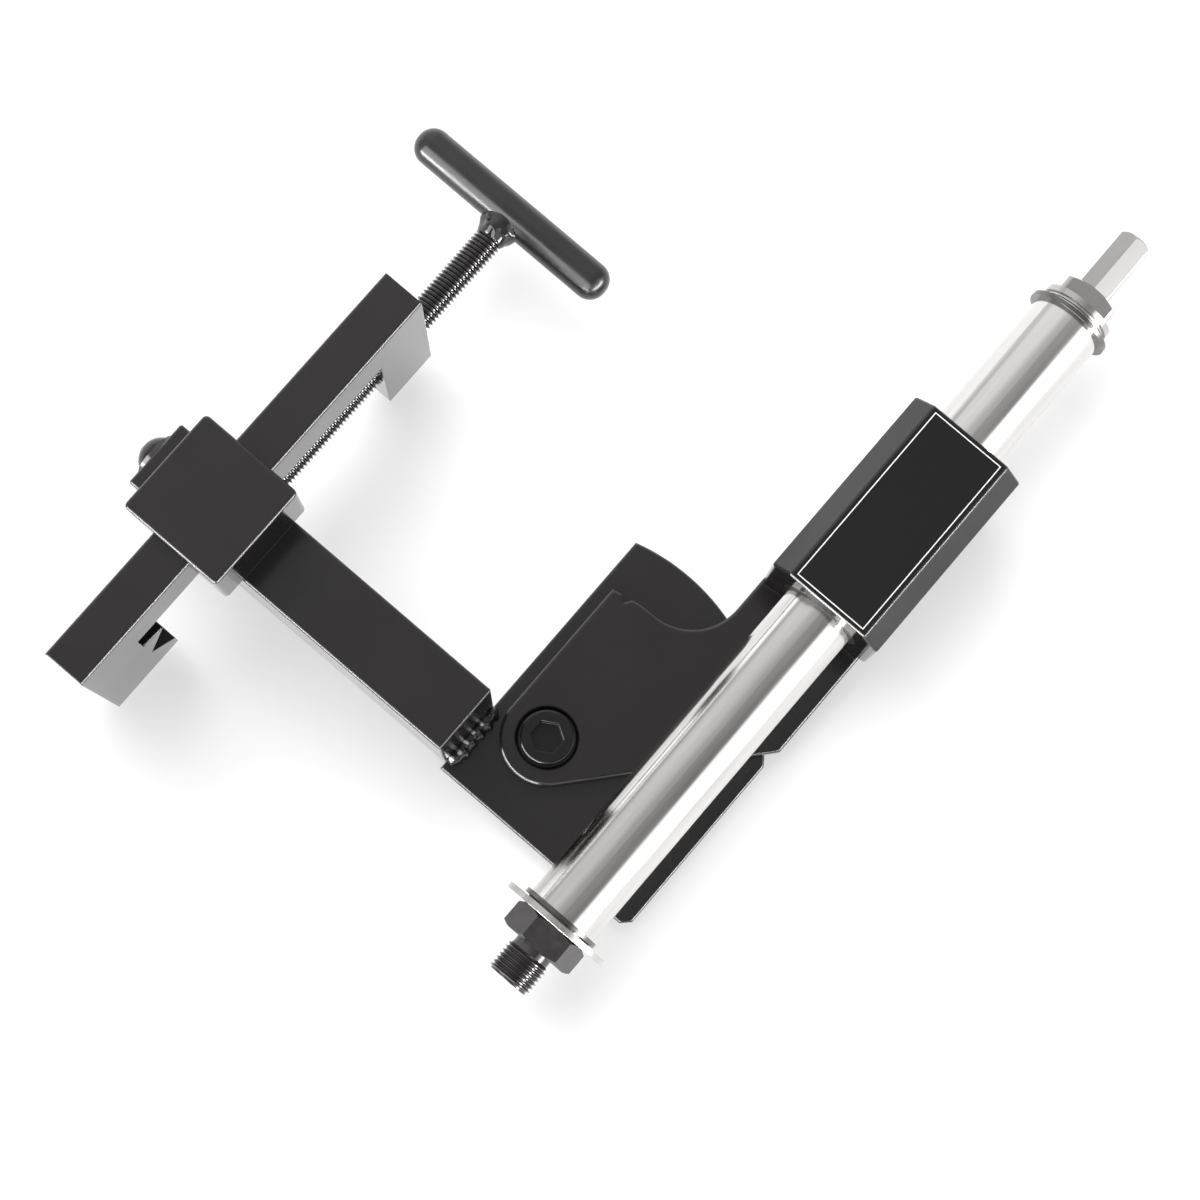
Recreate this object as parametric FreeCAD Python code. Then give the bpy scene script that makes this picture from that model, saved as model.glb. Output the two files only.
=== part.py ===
"""Tube notcher: a swivelling spindle head on a base plate, and a screw clamp for the tube.

Units are millimetres. The origin is on the pivot bolt's axis at the underside of the base
plate. +Z points up, +Y runs along the spindle towards the drive shank, and +X points from
the clamp to the spindle. Everything is drawn at rest: the head square to the tube, as stored.
"""
import FreeCAD
import Part
import math
import os

Vec = FreeCAD.Vector

# Fits and cuts that several pieces share.
running_clearance = 0.05      # radial, shaft in a plain bearing
sliding_clearance = 0.15      # each side, square bar in its tunnel
seat_gap = 0.1                # between faces that turn or slide on each other
overrun = 2.0                 # how far a cutting tool passes a face
edge_chamfer = 0.6            # broken edges of plates and bars
turned_chamfer = 0.8          # broken edges of turned pieces
nut_chamfer_angle = 60.0      # degrees from the axis, of the cone on a nut's corners

# Base plate.
base_thickness = 8.0
base_left = 20.8              # from the pivot axis to the edge that the arm is welded to
base_right = 61.6
base_front = 30.8             # from the pivot axis to the edge on the saw's side
scale_radius = 73.7           # rounded rear edge, centred on the pivot
base_corner = 3.0
thread_floor = 1.2            # metal left under the blind pivot thread

# Swivel plate.
swivel_thickness = 6.0
swivel_edge_break = 0.7
lobe_radius = 16.0            # rounded corner round the pivot bolt
index_radius = 55.0           # rear edge, which runs along the scale band
index_notch_angle = 101.0     # degrees from +X
index_notch_width = 4.0
index_notch_depth = 2.0
neck_left = 20.3              # left edge of the neck under the bearing block
neck_fillet = 20.0
swivel_right = 62.3
swivel_edge_angle = 49.0      # front edge, degrees from +X: it sets the swing of the head
swivel_rear = 160.4

# Pivot bolt, a low-head M12 socket screw.
pivot_bolt_radius = 6.0
pivot_head_radius = 9.1
pivot_head_height = 8.0
pivot_socket_flats = 10.0
pivot_socket_depth = 5.0
counterbore_radius = 10.2
counterbore_depth = 3.5

# Bearing block, which carries the quill.
spindle_x = 42.4
block_wall = 7.0              # between the bushes' bore and each side of the block
block_chamfer = 6.5
block_front = 87.9
block_rear = 161.3
bush_wall = 2.0
bush_length = 22.0
label_margin = 0.7
label_thickness = 0.4
block_weld_leg = 4.0
block_weld_inset = 5.0

# Quill tube and the rings on it.
quill_radius = 13.0
quill_wall = 3.0
quill_front = 44.0            # the tube's front end lies this far in front of the pivot
quill_rear = 220.2
ring_thickness = 1.6
front_ring_proud = 1.4        # how far each ring stands out of the tube
rear_ring_proud = 2.2
ring_groove_depth = 0.8
front_ring_setback = 0.6      # from the tube's end to the ring
rear_ring_setback = 1.6
bearing_length = 20.0

# Spindle, its nut and washers, and the drive shank.
spindle_radius = 8.0          # also the M16 x 1.5 arbor thread
arbor_length = 13.4
arbor_chamfer = 1.2
arbor_neck_length = 2.3       # relief between the thread and the nut
arbor_neck_radius = 6.9
spindle_nut_flats = 24.0
spindle_nut_thickness = 9.6
spindle_nut_turn = 5.0        # degrees from a flat on top
flange_washer_proud = 6.8     # beyond the quill tube
flange_washer_thickness = 2.0
thrust_washer_width = 4.0     # from the spindle's surface to the washer's edge
thrust_washer_thickness = 1.0
collar_radius = 12.8          # the shank's turned collar, milled square behind its rim
collar_rim = 2.2
collar_flats = 19.4
collar_length = 8.5
shank_flats = 11.0
shank_length = 24.6
shank_chamfer = 1.0
shank_turn = -8.0             # degrees from a corner on top
shank_stub_radius = 4.0
shank_stub_length = 12.0

# Clamp arm, a flat bar on edge, and the saddle on it.
arm_width = 25.0
arm_height = 63.0
arm_end = 152.2               # free end, measured from the pivot axis
arm_rear = -3.0               # y of the face that the clamp screw presses on
arm_weld_leg = 4.5
saddle_length = 38.2          # along the clamp frame
saddle_width = 38.0
saddle_height = 30.0
saddle_shift = 1.0            # towards the saw's side, from the arm's centre
saddle_floor = 3.0            # under the tunnel
saddle_corner = 1.8
saddle_weld_leg = 3.0
end_screw_radius = 4.0
end_screw_length = 20.0
end_screw_head_radius = 7.0
end_screw_head_height = 4.6
end_screw_drop = 9.0          # from the arm's top to the screw's axis
end_screw_socket_flats = 5.0
end_screw_socket_depth = 2.4
end_washer_radius = 8.0
end_washer_thickness = 1.6

# Clamp frame, a C cut from plate: spine, notched jaw and threaded lug.
clamp_x = 122.6               # spine, screw and saddle centre, on the far side of the pivot
frame_thickness = 15.0
spine_height = 22.0
frame_front = 85.2
frame_rear = 73.2
jaw_length = 29.5
lug_length = 21.0
frame_drop = 22.0             # from the spindle's axis to the underside of the jaw and lug
notch_depth = 8.3
notch_height = 29.0           # between the tips of its two prongs
relief_depth = 8.7            # over the upper prong, behind the jaw's face
relief_slope = 2.8            # fall of the upper prong's top towards its tip

# Clamp screw, M10 x 1.5, with its welded T handle.
screw_radius = 5.0
handle_y = 124.2
handle_radius = 6.6
handle_length = 82.0
handle_weld_radius = 7.8
handle_weld_length = 6.2

# Places that follow from the sizes above.
swivel_top = base_thickness + swivel_thickness
bush_outer_radius = quill_radius + bush_wall
quill_bore_radius = quill_radius - quill_wall
front_ring_radius = quill_radius + front_ring_proud
rear_ring_radius = quill_radius + rear_ring_proud
flange_washer_radius = quill_radius + flange_washer_proud
thrust_washer_radius = spindle_radius + thrust_washer_width
block_width = (bush_outer_radius + block_wall) * 2
spindle_z = swivel_top + block_width / 2
block_left = spindle_x - block_width / 2
block_right = spindle_x + block_width / 2
block_top = swivel_top + block_width
screw_z = spindle_z            # the pull lies in the plane of the cut
arm_front = arm_rear - arm_width
arm_centre_y = (arm_front + arm_rear) / 2
saddle_front = arm_centre_y - saddle_shift - saddle_length / 2
spine_bottom = arm_height + saddle_floor
spine_top = spine_bottom + spine_height
frame_bottom = spindle_z - frame_drop
jaw_face = jaw_length - frame_front
lug_face = frame_rear - lug_length
nut_rear = -quill_front - seat_gap - flange_washer_thickness
nut_front = nut_rear - spindle_nut_thickness
arbor_end = nut_front - arbor_length
shaft_rear = quill_rear + seat_gap + thrust_washer_thickness
collar_rear = shaft_rear + collar_length
along_y = Vec(0, 1, 0)
along_x = Vec(1, 0, 0)


def box(x0, x1, y0, y1, z0, z1):
    """A box between two corners."""
    return Part.makeBox(x1 - x0, y1 - y0, z1 - z0, Vec(x0, y0, z0))


def rod(radius, start, axis, length):
    """A cylinder from a point along an axis."""
    return Part.makeCylinder(radius, length, start, axis)


def spindle_rod(radius, y0, y1):
    """A cylinder on the spindle's axis."""
    return rod(radius, Vec(spindle_x, y0, spindle_z), along_y, y1 - y0)


def tube(outer, inner, y0, y1):
    """A ring or tube on the spindle's axis."""
    return spindle_rod(outer, y0, y1).cut(spindle_rod(inner, y0 - overrun, y1 + overrun))


def prism(points, direction):
    """A solid swept from a flat closed outline of straight sides."""
    wire = Part.makePolygon(points + [points[0]])
    return Part.Face(wire).extrude(direction)


def polygon_bar(sides, flats, centre, axis, length, turn=0):
    """A bar of even sides with a corner towards +Z or, upright, +Y, then turned by some degrees."""
    radius = flats / 2 / math.cos(math.pi / sides)
    points = []
    for step in range(sides):
        angle = math.radians(360 / sides * step + turn)
        across, up = radius * math.sin(angle), radius * math.cos(angle)
        if axis.z:
            points.append(centre + Vec(across, up, 0))
        elif axis.y:
            points.append(centre + Vec(across, 0, up))
        else:
            points.append(centre + Vec(0, across, up))
    return prism(points, axis * length)


def corner_cone(flats, y, direction, length):
    """The cone that a lathe leaves on the corners of a nut whose end face is at y."""
    growth = length * math.tan(math.radians(nut_chamfer_angle))
    return Part.makeCone(flats / 2, flats / 2 + growth, length, Vec(spindle_x, y, spindle_z),
                         direction)


def end_circles(shape):
    """The round edges of a turned shape whose axis is the spindle's."""
    return [edge for edge in shape.Edges if edge.BoundBox.YLength < edge_chamfer]


def edges_along(shape, axis):
    """The straight edges of a shape that run along one axis."""
    found = []
    for edge in shape.Edges:
        if len(edge.Vertexes) != 2 or not isinstance(edge.Curve, Part.Line):
            continue
        run = edge.Vertexes[1].Point.sub(edge.Vertexes[0].Point)
        if abs(run.normalize().dot(axis)) > math.cos(math.radians(1)):
            found.append(edge)
    return found


def broken_edges(shape, size):
    """The shape with all its edges chamfered."""
    return shape.makeChamfer(size, shape.Edges)


def arc_through(start, middle, end):
    return Part.Arc(start, middle, end).toShape()


def line(start, end):
    return Part.LineSegment(start, end).toShape()


def on_circle(radius, degrees, z):
    angle = math.radians(degrees)
    return Vec(radius * math.cos(angle), radius * math.sin(angle), z)


def base_plate():
    """The plate that everything stands on, with a rounded rear edge along the scale band."""
    rear_left = Vec(-base_left, math.sqrt(scale_radius ** 2 - base_left ** 2), 0)
    rear_right = Vec(base_right, math.sqrt(scale_radius ** 2 - base_right ** 2), 0)
    front_left = Vec(-base_left, -base_front, 0)
    front_cut = Vec(base_right - base_corner, -base_front, 0)
    side_cut = Vec(base_right, base_corner - base_front, 0)
    edges = [arc_through(rear_left, Vec(0, scale_radius, 0), rear_right),
             line(rear_right, side_cut), line(side_cut, front_cut),
             line(front_cut, front_left), line(front_left, rear_left)]
    plate = Part.Face(Part.Wire(edges)).extrude(Vec(0, 0, base_thickness))
    top = [edge for edge in plate.Edges
           if all(vertex.Z > base_thickness / 2 for vertex in edge.Vertexes)]
    plate = plate.makeChamfer(edge_chamfer, top)
    thread = rod(pivot_bolt_radius, Vec(0, 0, thread_floor), Vec(0, 0, 1),
                 base_thickness - thread_floor + overrun)
    return plate.cut(thread)


def swivel_outline():
    """The swivel plate's outline at its underside, as edges in order."""
    z = base_thickness + seat_gap
    tangent = on_circle(lobe_radius, swivel_edge_angle - 90, z)
    left = Vec(-lobe_radius, 0, z)
    rear_left = Vec(-lobe_radius, math.sqrt(index_radius ** 2 - lobe_radius ** 2), z)
    fillet_x = neck_left - neck_fillet
    fillet_y = math.sqrt((index_radius + neck_fillet) ** 2 - fillet_x ** 2)
    fillet_angle = math.degrees(math.atan2(fillet_y, fillet_x))
    fillet_start = on_circle(index_radius, fillet_angle, z)
    neck = Vec(neck_left, fillet_y, z)
    half_turn = math.radians(fillet_angle / 2 + 90)
    fillet_middle = Vec(fillet_x - neck_fillet * math.cos(half_turn),
                        fillet_y - neck_fillet * math.sin(half_turn), z)
    half_notch = math.degrees(index_notch_width / index_radius) / 2
    notch_left = on_circle(index_radius, index_notch_angle + half_notch, z)
    notch_deep = on_circle(index_radius - index_notch_depth, index_notch_angle, z)
    notch_right = on_circle(index_radius, index_notch_angle - half_notch, z)
    left_angle = math.degrees(math.atan2(rear_left.y, rear_left.x))
    short_middle = on_circle(index_radius, (left_angle + index_notch_angle + half_notch) / 2, z)
    long_middle = on_circle(index_radius, (fillet_angle + index_notch_angle - half_notch) / 2, z)
    slope = math.tan(math.radians(swivel_edge_angle))
    front_right = Vec(swivel_right, tangent.y + (swivel_right - tangent.x) * slope, z)
    lobe_middle = on_circle(lobe_radius, (swivel_edge_angle - 90 - 180) / 2, z)
    return [arc_through(left, lobe_middle, tangent),
            line(tangent, front_right),
            line(front_right, Vec(swivel_right, swivel_rear, z)),
            line(Vec(swivel_right, swivel_rear, z), Vec(neck_left, swivel_rear, z)),
            line(Vec(neck_left, swivel_rear, z), neck),
            arc_through(neck, fillet_middle, fillet_start),
            arc_through(fillet_start, long_middle, notch_right),
            line(notch_right, notch_deep), line(notch_deep, notch_left),
            arc_through(notch_left, short_middle, rear_left),
            line(rear_left, left)]


def swivel_plate():
    """The plate that turns on the pivot bolt and carries the bearing block."""
    wire = Part.Wire(Part.__sortEdges__(swivel_outline()))
    plate = Part.Face(wire).extrude(Vec(0, 0, swivel_thickness - seat_gap))
    top = [edge for edge in plate.Edges
           if edge.BoundBox.ZMin > swivel_top - swivel_edge_break]
    plate = plate.makeChamfer(swivel_edge_break, top)
    up = Vec(0, 0, 1)
    hole = rod(pivot_bolt_radius + running_clearance, Vec(0, 0, 0), up, swivel_top + overrun)
    recess = rod(counterbore_radius, Vec(0, 0, swivel_top - counterbore_depth), up,
                 counterbore_depth + overrun)
    rim = Part.makeCone(counterbore_radius, counterbore_radius + edge_chamfer + overrun,
                        edge_chamfer + overrun, Vec(0, 0, swivel_top - edge_chamfer), up)
    return plate.cut(hole).cut(recess).cut(rim)


def pivot_bolt():
    """The low-head socket screw that the head turns on and that locks it."""
    seat = swivel_top - counterbore_depth + seat_gap
    up = Vec(0, 0, 1)
    head = rod(pivot_head_radius, Vec(0, 0, seat), up, pivot_head_height)
    rim = [edge for edge in head.Edges if edge.BoundBox.ZMin > seat + pivot_head_height / 2]
    head = head.makeFillet(turned_chamfer, rim)
    shank = rod(pivot_bolt_radius, Vec(0, 0, thread_floor), up, seat - thread_floor + overrun)
    socket = polygon_bar(6, pivot_socket_flats,
                         Vec(0, 0, seat + pivot_head_height - pivot_socket_depth),
                         up, pivot_socket_depth + overrun)
    return head.fuse(shank).cut(socket)


def bearing_block():
    """The square block with turned-off corners that the quill slides in."""
    low, high = block_left, block_right
    cut = block_chamfer
    z0, z1 = swivel_top, block_top
    y = block_front
    points = [Vec(low + cut, y, z0), Vec(high - cut, y, z0), Vec(high, y, z0 + cut),
              Vec(high, y, z1 - cut), Vec(high - cut, y, z1), Vec(low + cut, y, z1),
              Vec(low, y, z1 - cut), Vec(low, y, z0 + cut)]
    body = prism(points, Vec(0, block_rear - block_front, 0))
    body = body.makeChamfer(edge_chamfer, [edge for edge in body.Edges
                                           if edge not in edges_along(body, along_y)
                                           and edge.BoundBox.YLength < edge_chamfer])
    return body.cut(spindle_rod(bush_outer_radius, block_front - overrun, block_rear + overrun))


def front_guide_bush():
    return tube(bush_outer_radius, quill_radius + running_clearance,
                block_front, block_front + bush_length)


def rear_guide_bush():
    return tube(bush_outer_radius, quill_radius + running_clearance,
                block_rear - bush_length, block_rear)


def label_plate():
    """The bare plate on top of the block."""
    half = block_width / 2 - block_chamfer - label_margin
    return box(spindle_x - half, spindle_x + half, block_front + label_margin,
               block_rear - label_margin, block_top, block_top + label_thickness)


def block_weld():
    """The bead that joins the block's front face to the swivel plate."""
    y, z = block_front, swivel_top
    x = block_left + block_chamfer + block_weld_inset
    points = [Vec(x, y, z), Vec(x, y - block_weld_leg, z), Vec(x, y, z + block_weld_leg)]
    return prism(points, Vec(block_width - (block_chamfer + block_weld_inset) * 2, 0, 0))


def quill_tube():
    """The ground tube that feeds through the block and carries the spindle."""
    body = spindle_rod(quill_radius, -quill_front, quill_rear)
    body = body.makeChamfer(edge_chamfer, [edge for edge in body.Edges
                                           if edge.BoundBox.YLength < edge_chamfer])
    body = body.cut(spindle_rod(quill_bore_radius, -quill_front - overrun, quill_rear + overrun))
    for y in (front_ring_y(), rear_ring_y()):
        groove = tube(quill_radius + overrun, quill_radius - ring_groove_depth,
                      y, y + ring_thickness)
        body = body.cut(groove)
    return body


def front_ring_y():
    return front_ring_setback - quill_front


def rear_ring_y():
    return quill_rear - rear_ring_setback - ring_thickness


def retaining_ring(outer, y):
    """A snap ring in the tube's groove, open at its gap."""
    ring = tube(outer, quill_radius - ring_groove_depth, y, y + ring_thickness)
    gap = box(spindle_x - ring_thickness, spindle_x + ring_thickness, y - overrun,
              y + ring_thickness + overrun, spindle_z - outer - overrun, spindle_z)
    return ring.cut(gap)


def front_retaining_ring():
    return retaining_ring(front_ring_radius, front_ring_y())


def rear_retaining_ring():
    return retaining_ring(rear_ring_radius, rear_ring_y())


def front_spindle_bearing():
    return tube(quill_bore_radius, spindle_radius + running_clearance,
                -quill_front, bearing_length - quill_front)


def rear_spindle_bearing():
    return tube(quill_bore_radius, spindle_radius + running_clearance,
                quill_rear - bearing_length, quill_rear)


def spindle_shaft():
    """The shaft inside the quill, with the arbor thread and its relief at the front."""
    shaft = spindle_rod(spindle_radius, arbor_end, shaft_rear)
    front = [edge for edge in shaft.Edges if edge.BoundBox.YMax < arbor_end + overrun]
    shaft = shaft.makeChamfer(arbor_chamfer, front)
    relief = tube(spindle_radius + overrun, arbor_neck_radius, nut_front - arbor_neck_length,
                  nut_front)
    bore = spindle_rod(shank_stub_radius + running_clearance,
                       shaft_rear - shank_stub_length - running_clearance, shaft_rear + overrun)
    return shaft.cut(relief).cut(bore)


def spindle_nut():
    """The nut against which the saw is run home."""
    length = spindle_nut_thickness
    flat_up = 30
    body = polygon_bar(6, spindle_nut_flats, Vec(spindle_x, nut_front, spindle_z), along_y,
                       length, flat_up + spindle_nut_turn)
    body = body.common(corner_cone(spindle_nut_flats, nut_front, along_y, length))
    body = body.common(corner_cone(spindle_nut_flats, nut_rear, along_y * -1, length))
    return body.cut(spindle_rod(spindle_radius, nut_front - overrun, nut_rear + overrun))


def flange_washer():
    return tube(flange_washer_radius, spindle_radius, nut_rear,
                nut_rear + flange_washer_thickness)


def thrust_washer():
    return tube(thrust_washer_radius, spindle_radius, shaft_rear - thrust_washer_thickness,
                shaft_rear)


def drive_shank():
    """The hexagon that a drill chuck grips, with its collar and plain stub."""
    flat_up = 45
    rim = spindle_rod(collar_radius, shaft_rear, shaft_rear + collar_rim)
    square = polygon_bar(4, collar_flats, Vec(spindle_x, shaft_rear, spindle_z), along_y,
                         collar_length, flat_up)
    square = square.common(spindle_rod(collar_radius, shaft_rear, collar_rear))
    square = square.common(corner_cone(collar_flats, collar_rear, along_y * -1, collar_length))
    shank = polygon_bar(6, shank_flats, Vec(spindle_x, collar_rear, spindle_z), along_y,
                        shank_length, shank_turn)
    corner = shank_flats / math.sqrt(3)
    end = collar_rear + shank_length
    turned = Part.makeCone(corner - shank_chamfer, corner - shank_chamfer + shank_length,
                           shank_length, Vec(spindle_x, end, spindle_z), along_y * -1)
    stub = spindle_rod(shank_stub_radius, shaft_rear - shank_stub_length, shaft_rear)
    return rim.fuse(square).fuse(shank.common(turned)).fuse(stub)


def clamp_arm():
    """The flat bar on edge that is butt-welded to the base plate."""
    arm = broken_edges(box(-arm_end, -base_left, arm_front, arm_rear, 0, arm_height),
                       edge_chamfer)
    hole = rod(end_screw_radius, Vec(-arm_end - overrun, arm_centre_y, arm_height - end_screw_drop),
               along_x, end_screw_length + overrun)
    return arm.cut(hole)


def arm_weld():
    """The fillet between the arm's end face and the top of the base plate."""
    x, z = -base_left, base_thickness
    points = [Vec(x + edge_chamfer, arm_front, z), Vec(x + arm_weld_leg, arm_front, z),
              Vec(x, arm_front, z + arm_weld_leg), Vec(x, arm_front, z)]
    inset = edge_chamfer
    bead = prism(points, Vec(0, arm_width - inset * 2, 0))
    bead.translate(Vec(0, inset, 0))
    return bead


def saddle():
    """The block on the arm that the clamp frame's spine slides through."""
    body = box(-clamp_x - saddle_width / 2, saddle_width / 2 - clamp_x, saddle_front,
               saddle_front + saddle_length, arm_height, arm_height + saddle_height)
    body = body.makeFillet(saddle_corner, edges_along(body, Vec(0, 0, 1)))
    rims = [edge for edge in body.Edges if edge.BoundBox.ZLength < edge_chamfer]
    body = body.makeChamfer(edge_chamfer, rims)
    half = frame_thickness / 2 + sliding_clearance
    tunnel = box(-clamp_x - half, half - clamp_x, saddle_front - overrun,
                 saddle_front + saddle_length + overrun,
                 spine_bottom - sliding_clearance, spine_top + sliding_clearance)
    return body.cut(tunnel)


def saddle_weld():
    """The fillet between the saddle and the arm's free end."""
    x, z = -clamp_x - saddle_width / 2, arm_height
    inset = edge_chamfer
    points = [Vec(x, arm_front + inset, z), Vec(x - saddle_weld_leg, arm_front + inset, z),
              Vec(x, arm_front + inset, z + saddle_weld_leg)]
    return prism(points, Vec(0, arm_width - inset * 2, 0))


def arm_end_washer():
    centre = Vec(-arm_end - end_washer_thickness, arm_centre_y, arm_height - end_screw_drop)
    disc = rod(end_washer_radius, centre, along_x, end_washer_thickness)
    return disc.cut(rod(end_screw_radius, centre, along_x, end_washer_thickness))


def arm_end_screw():
    """The button-head screw in the arm's free end."""
    y, z = arm_centre_y, arm_height - end_screw_drop
    seat = -arm_end - end_washer_thickness
    dome_radius = (end_screw_head_radius ** 2 + end_screw_head_height ** 2) \
        / (end_screw_head_height * 2)
    dome = Part.makeSphere(dome_radius, Vec(seat + dome_radius - end_screw_head_height, y, z))
    head = dome.common(box(seat - end_screw_head_height - overrun, seat,
                           y - end_screw_head_radius, y + end_screw_head_radius,
                           z - end_screw_head_radius, z + end_screw_head_radius))
    shank = rod(end_screw_radius, Vec(seat, y, z), along_x,
                end_screw_length + end_washer_thickness)
    socket = polygon_bar(6, end_screw_socket_flats,
                         Vec(seat - end_screw_head_height + end_screw_socket_depth, y, z),
                         along_x * -1, end_screw_socket_depth + overrun)
    return head.fuse(shank).cut(socket)


def clamp_frame():
    """The sliding C frame: spine on top, notched jaw in front, threaded lug at the rear."""
    x = -clamp_x - frame_thickness / 2
    front, rear = -frame_front, frame_rear
    notch_back = jaw_face - notch_depth
    relief_back = jaw_face - relief_depth
    notch_half = notch_height / 2
    points = [Vec(x, front, spine_top), Vec(x, rear, spine_top), Vec(x, rear, frame_bottom),
              Vec(x, lug_face, frame_bottom), Vec(x, lug_face, spine_bottom),
              Vec(x, relief_back, spine_bottom),
              Vec(x, relief_back, spindle_z + notch_half + relief_slope),
              Vec(x, jaw_face, spindle_z + notch_half), Vec(x, notch_back, spindle_z),
              Vec(x, jaw_face, spindle_z - notch_half),
              Vec(x, jaw_face, frame_bottom), Vec(x, front, frame_bottom)]
    body = prism(points, Vec(frame_thickness, 0, 0))
    outer = [edge for edge in edges_along(body, along_y)
             if edge.BoundBox.ZMin > spine_top - edge_chamfer]
    body = body.makeChamfer(edge_chamfer, outer)
    thread = rod(screw_radius + seat_gap, Vec(-clamp_x, lug_face - overrun, screw_z), along_y,
                 lug_length + overrun * 2)
    return body.cut(thread)


def handle_rod(radius, extra):
    half = handle_length / 2 - handle_radius
    start = Vec(-clamp_x - half, handle_y, screw_z)
    body = rod(radius, start, along_x, half * 2)
    for side in (-half, half):
        body = body.fuse(Part.makeSphere(radius + extra, Vec(side - clamp_x, handle_y, screw_z)))
    return body.removeSplitter()


def t_handle():
    """The round bar with rounded ends that turns the screw."""
    return handle_rod(handle_radius, 0)


def clamp_screw():
    """The M10 screw, which presses on the arm and is coped to fit the handle."""
    start = arm_rear + seat_gap
    body = rod(screw_radius, Vec(-clamp_x, start, screw_z), along_y, handle_y - start)
    tip = [edge for edge in body.Edges if edge.BoundBox.YMax < start + overrun]
    body = body.makeChamfer(turned_chamfer, tip)
    return body.cut(handle_rod(handle_radius, 0))


def handle_weld():
    """The bead round the joint of screw and handle."""
    start = handle_y - handle_radius - handle_weld_length
    bead = Part.makeCone(screw_radius, handle_weld_radius, handle_weld_length + handle_radius,
                         Vec(-clamp_x, start, screw_z), along_y)
    core = rod(screw_radius, Vec(-clamp_x, start - overrun, screw_z), along_y,
               handle_y + overrun * 2 - start)
    far_half = box(-clamp_x - handle_radius * 2, handle_radius * 2 - clamp_x, handle_y,
                   handle_y + handle_radius * 2, screw_z - handle_radius * 2,
                   screw_z + handle_radius * 2)
    return bead.cut(handle_rod(handle_radius, 0)).cut(core).cut(far_half)


NODES = [base_plate, swivel_plate, pivot_bolt, bearing_block, front_guide_bush, rear_guide_bush,
         label_plate, block_weld, quill_tube, front_retaining_ring, rear_retaining_ring,
         front_spindle_bearing, rear_spindle_bearing, spindle_shaft, spindle_nut, flange_washer,
         thrust_washer, drive_shank, clamp_arm, arm_weld, saddle, saddle_weld, arm_end_washer,
         arm_end_screw, clamp_frame, t_handle, clamp_screw, handle_weld]


def main():
    os.makedirs("parts", exist_ok=True)
    for make in NODES:
        shape = make()
        solids = shape.Solids
        if not shape.isValid() or not solids:
            raise ValueError(make.__name__ + " is not a valid solid")
        if len(solids) == 1:
            shape = solids[0]
        bounds = shape.BoundBox
        print(f"{make.__name__:24s} solids {len(solids)} volume {shape.Volume:10.1f}  "
              f"x {bounds.XMin:8.2f} {bounds.XMax:8.2f}  y {bounds.YMin:8.2f} {bounds.YMax:8.2f}  "
              f"z {bounds.ZMin:7.2f} {bounds.ZMax:7.2f}")
        shape.exportStep(os.path.join("parts", make.__name__ + ".step"))


main()
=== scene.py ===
"""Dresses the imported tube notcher: cut threads, weld beads, the label's line, finishes, a
pale studio floor, soft lights and the camera.

Lengths are metres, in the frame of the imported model: the origin on the pivot bolt's axis
under the base plate, +Y along the spindle towards the drive shank, +Z up.
"""

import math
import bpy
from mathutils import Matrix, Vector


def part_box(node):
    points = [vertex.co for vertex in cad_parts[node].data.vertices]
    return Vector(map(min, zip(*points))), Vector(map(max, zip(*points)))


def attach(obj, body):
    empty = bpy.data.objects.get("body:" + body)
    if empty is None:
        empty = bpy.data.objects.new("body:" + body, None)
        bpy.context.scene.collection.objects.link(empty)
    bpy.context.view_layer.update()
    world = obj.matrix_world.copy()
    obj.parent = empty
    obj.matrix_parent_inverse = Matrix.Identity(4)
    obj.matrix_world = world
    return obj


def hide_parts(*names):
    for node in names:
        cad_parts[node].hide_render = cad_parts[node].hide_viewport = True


bl_info = {
    "name": "Tube Notcher",
    "version": (1, 0, 0),
    "blender": (4, 5, 0),
    "location": "3D View > Sidebar > Notcher",
    "description": "Threads, welds and finishes of a bench tube notcher, and its studio",
    "category": "Object",
}

import bmesh
import bpy
from bpy.props import FloatProperty, FloatVectorProperty, IntProperty, PointerProperty
from mathutils import Euler, Matrix, Vector, noise

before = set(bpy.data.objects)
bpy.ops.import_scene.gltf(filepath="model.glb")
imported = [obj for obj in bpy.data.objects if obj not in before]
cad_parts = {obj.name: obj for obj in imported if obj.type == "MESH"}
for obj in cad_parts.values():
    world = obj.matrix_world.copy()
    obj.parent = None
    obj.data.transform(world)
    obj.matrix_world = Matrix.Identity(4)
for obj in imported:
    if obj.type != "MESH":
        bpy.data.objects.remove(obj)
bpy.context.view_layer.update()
MM = 0.001

SPINDLE_LOW, SPINDLE_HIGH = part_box("spindle_shaft")
SPINDLE_AXIS = (SPINDLE_LOW + SPINDLE_HIGH) / 2
NUT_LOW, NUT_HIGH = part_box("spindle_nut")
SCREW_LOW, SCREW_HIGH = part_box("clamp_screw")
HANDLE_LOW, HANDLE_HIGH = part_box("t_handle")
HANDLE_MIDDLE = (HANDLE_LOW + HANDLE_HIGH) / 2


def linear(hex_colour):
    """An sRGB hex colour as the linear values that a shader takes."""
    values = []
    for start in (1, 3, 5):
        value = int(hex_colour[start:start + 2], 16) / 255
        values.append(value / 12.92 if value <= 0.04045 else ((value + 0.055) / 1.055) ** 2.4)
    return tuple(values)


def colour(name, description, default):
    return FloatVectorProperty(name=name, description=description, default=linear(default),
                               subtype="COLOR", min=0, max=1)


def length(name, description, default):
    return FloatProperty(name=name, description=description, default=default, unit="LENGTH",
                         min=0)


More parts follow.
